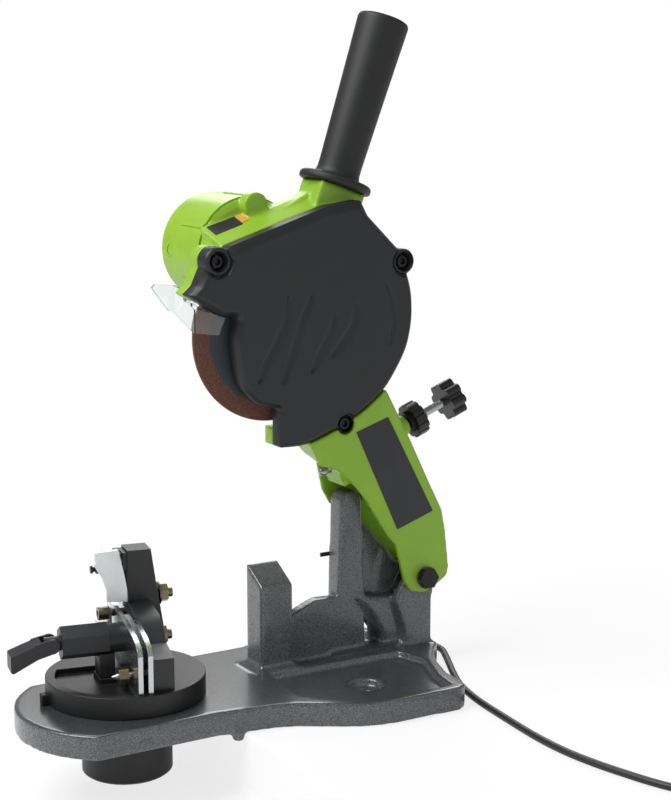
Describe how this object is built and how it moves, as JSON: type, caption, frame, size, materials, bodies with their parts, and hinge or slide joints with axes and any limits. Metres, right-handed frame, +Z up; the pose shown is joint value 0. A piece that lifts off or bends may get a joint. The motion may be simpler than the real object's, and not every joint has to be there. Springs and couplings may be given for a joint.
{
  "type": "bench chain grinder",
  "caption": "Electric chain sharpener for a bench: tilting arm with grinding wheel, guard, grip and motor over a turning vise on a cast base.",
  "frame": {"origin": "midway between the two bench bolt holes, on the underside of the base plate", "axes": "+X to the rear, away from the turntable; +Y away from the operator's side; +Z up"},
  "size_m": [0.561, 0.5817, 0.6149],
  "materials": {
    "cast_grey": "hammered enamel",
    "green_paint": "satin lime green",
    "black_plastic": "satin",
    "black_metal": "satin black",
    "grip_rubber": "satin",
    "zinc_steel": "zinc plated",
    "chrome_steel": "polished",
    "yellow_zinc": "yellow passivated",
    "brass": "satin",
    "black_steel": "black oxide",
    "abrasive": "bonded grit",
    "clear_plastic": "clear",
    "cord_rubber": "matte",
    "bare_plate": "bare satin film",
    "copper": "enamelled copper",
    "laminations": "stacked sheet",
    "carbon": "carbon and brass",
    "rocker_red": "gloss",
    "belt_rubber": "matte"
  },
  "bodies": {
    "base": {"base_casting": "cast_grey", "pivot_bolt": "black_steel", "pivot_nut": "zinc_steel", "pivot_sleeve": "zinc_steel", "return_spring": "black_steel", "cable_tie": "black_plastic", "supply_cord": "cord_rubber", "cord_coil": "cord_rubber", "plug": "cord_rubber"},
    "turntable": {"turntable_disc": "black_plastic", "centre_stud": "zinc_steel", "vise_casting": "black_metal", "fixed_rail": "chrome_steel", "rail_bolts": "yellow_zinc", "socket_screw": "yellow_zinc", "rail_bracket": "chrome_steel", "front_stud": "zinc_steel", "brass_nut": "brass", "pawl_block": "black_metal", "pawl_pin": "black_steel", "pawl_spring": "black_steel"},
    "jaw": {"movable_rail": "chrome_steel", "clamp_spindle": "black_metal"},
    "lever": {"clamp_lever": "black_metal"},
    "pawl": {"stop_pawl": "zinc_steel", "pawl_screw": "black_steel"},
    "knob": {"lock_knob": "black_plastic", "knob_insert": "brass"},
    "arm": {"arm_housing": "green_paint", "name_plates": "bare_plate", "guard_cover": "black_plastic", "cover_screws": "black_steel", "eye_shield": "clear_plastic", "handle_grip": "grip_rubber", "handle_stud": "zinc_steel", "motor_housing": "green_paint", "motor_cap": "green_paint", "stator": "laminations", "brushes": "carbon", "bearings": "zinc_steel", "switch_body": "black_plastic", "strain_relief": "cord_rubber", "arm_cord": "cord_rubber", "drive_belt": "belt_rubber"},
    "wheel": {"grinding_wheel": "abrasive", "inner_flange": "zinc_steel", "outer_flange": "zinc_steel", "wheel_spindle": "zinc_steel", "wheel_nut": "zinc_steel", "driven_pulley": "zinc_steel"},
    "rotor": {"armature": "copper", "motor_shaft": "zinc_steel", "commutator": "copper", "cooling_fan": "black_plastic", "motor_pulley": "zinc_steel"},
    "depth_rod": {"depth_screw": "zinc_steel"},
    "depth_star": {"star_knob": "black_plastic"},
    "depth_nut": {"depth_lock_knob": "black_plastic"},
    "rocker": {"switch_rocker": "rocker_red"}
  },
  "joints": [
    {"name": "turntable_swing", "type": "hinge", "parent": "base", "child": "turntable", "pos_m": [-0.188, 0.011, 0.02], "axis": [0, 0, 1], "range_deg": [-23, 47]},
    {"name": "lock_knob_turn", "type": "hinge", "parent": "turntable", "child": "knob", "pos_m": [-0.188, 0.011, -0.02], "axis": [0, 0, 1], "range_deg": [0, 120]},
    {"name": "jaw_slide", "type": "slide", "parent": "turntable", "child": "jaw", "axis": [-0.9781, 0.2079, 0], "range_m": [0, 0.0015]},
    {"name": "lever_tilt", "type": "hinge", "parent": "jaw", "child": "lever", "pos_m": [-0.24718, 0.02358, 0.068], "axis": [0.2079, 0.9781, 0], "range_deg": [0, 60]},
    {"name": "pawl_lift", "type": "hinge", "parent": "turntable", "child": "pawl", "pos_m": [-0.18135, 0.0423, 0.123], "axis": [-0.9781, 0.2079, 0], "range_deg": [0, 35], "stiffness_Nm_per_rad": 0.08, "springref_deg": -22.92},
    {"name": "arm_lower", "type": "hinge", "parent": "base", "child": "arm", "pos_m": [0.091, 0.011, 0.082], "axis": [0, -1, 0], "range_deg": [0, 37.5], "stiffness_Nm_per_rad": 8, "springref_deg": -51.57},
    {"name": "wheel_spin", "type": "hinge", "parent": "arm", "child": "wheel", "pos_m": [-0.0506, 0.011, 0.3053], "axis": [0, 1, 0], "continuous": true},
    {"name": "motor_spin", "type": "hinge", "parent": "arm", "child": "rotor", "pos_m": [-0.058, 0.061, 0.371], "axis": [0, 1, 0], "continuous": true},
    {"name": "depth_travel", "type": "slide", "parent": "arm", "child": "depth_rod", "axis": [0.9317, 0, 0.3633], "range_m": [0, 0.0025]},
    {"name": "star_turn", "type": "hinge", "parent": "depth_rod", "child": "depth_star", "pos_m": [0.12938, 0.011, 0.23404], "axis": [0.9317, 0, 0.3633], "range_deg": [0, 720]},
    {"name": "depth_nut_turn", "type": "hinge", "parent": "depth_rod", "child": "depth_nut", "pos_m": [0.09043, 0.011, 0.21885], "axis": [0.9317, 0, 0.3633], "range_deg": [0, 180]},
    {"name": "switch_rock", "type": "hinge", "parent": "arm", "child": "rocker", "pos_m": [0.05, 0.031, 0.324], "axis": [-1, 0, 0], "range_deg": [0, 14]}
  ],
  "couplings": [
    {"joint": "lever_tilt", "follows": "jaw_slide", "rad_per_m": 698},
    {"joint": "motor_spin", "follows": "wheel_spin", "ratio": 2.4},
    {"joint": "star_turn", "follows": "depth_travel", "rad_per_m": 5026.5}
  ]
}
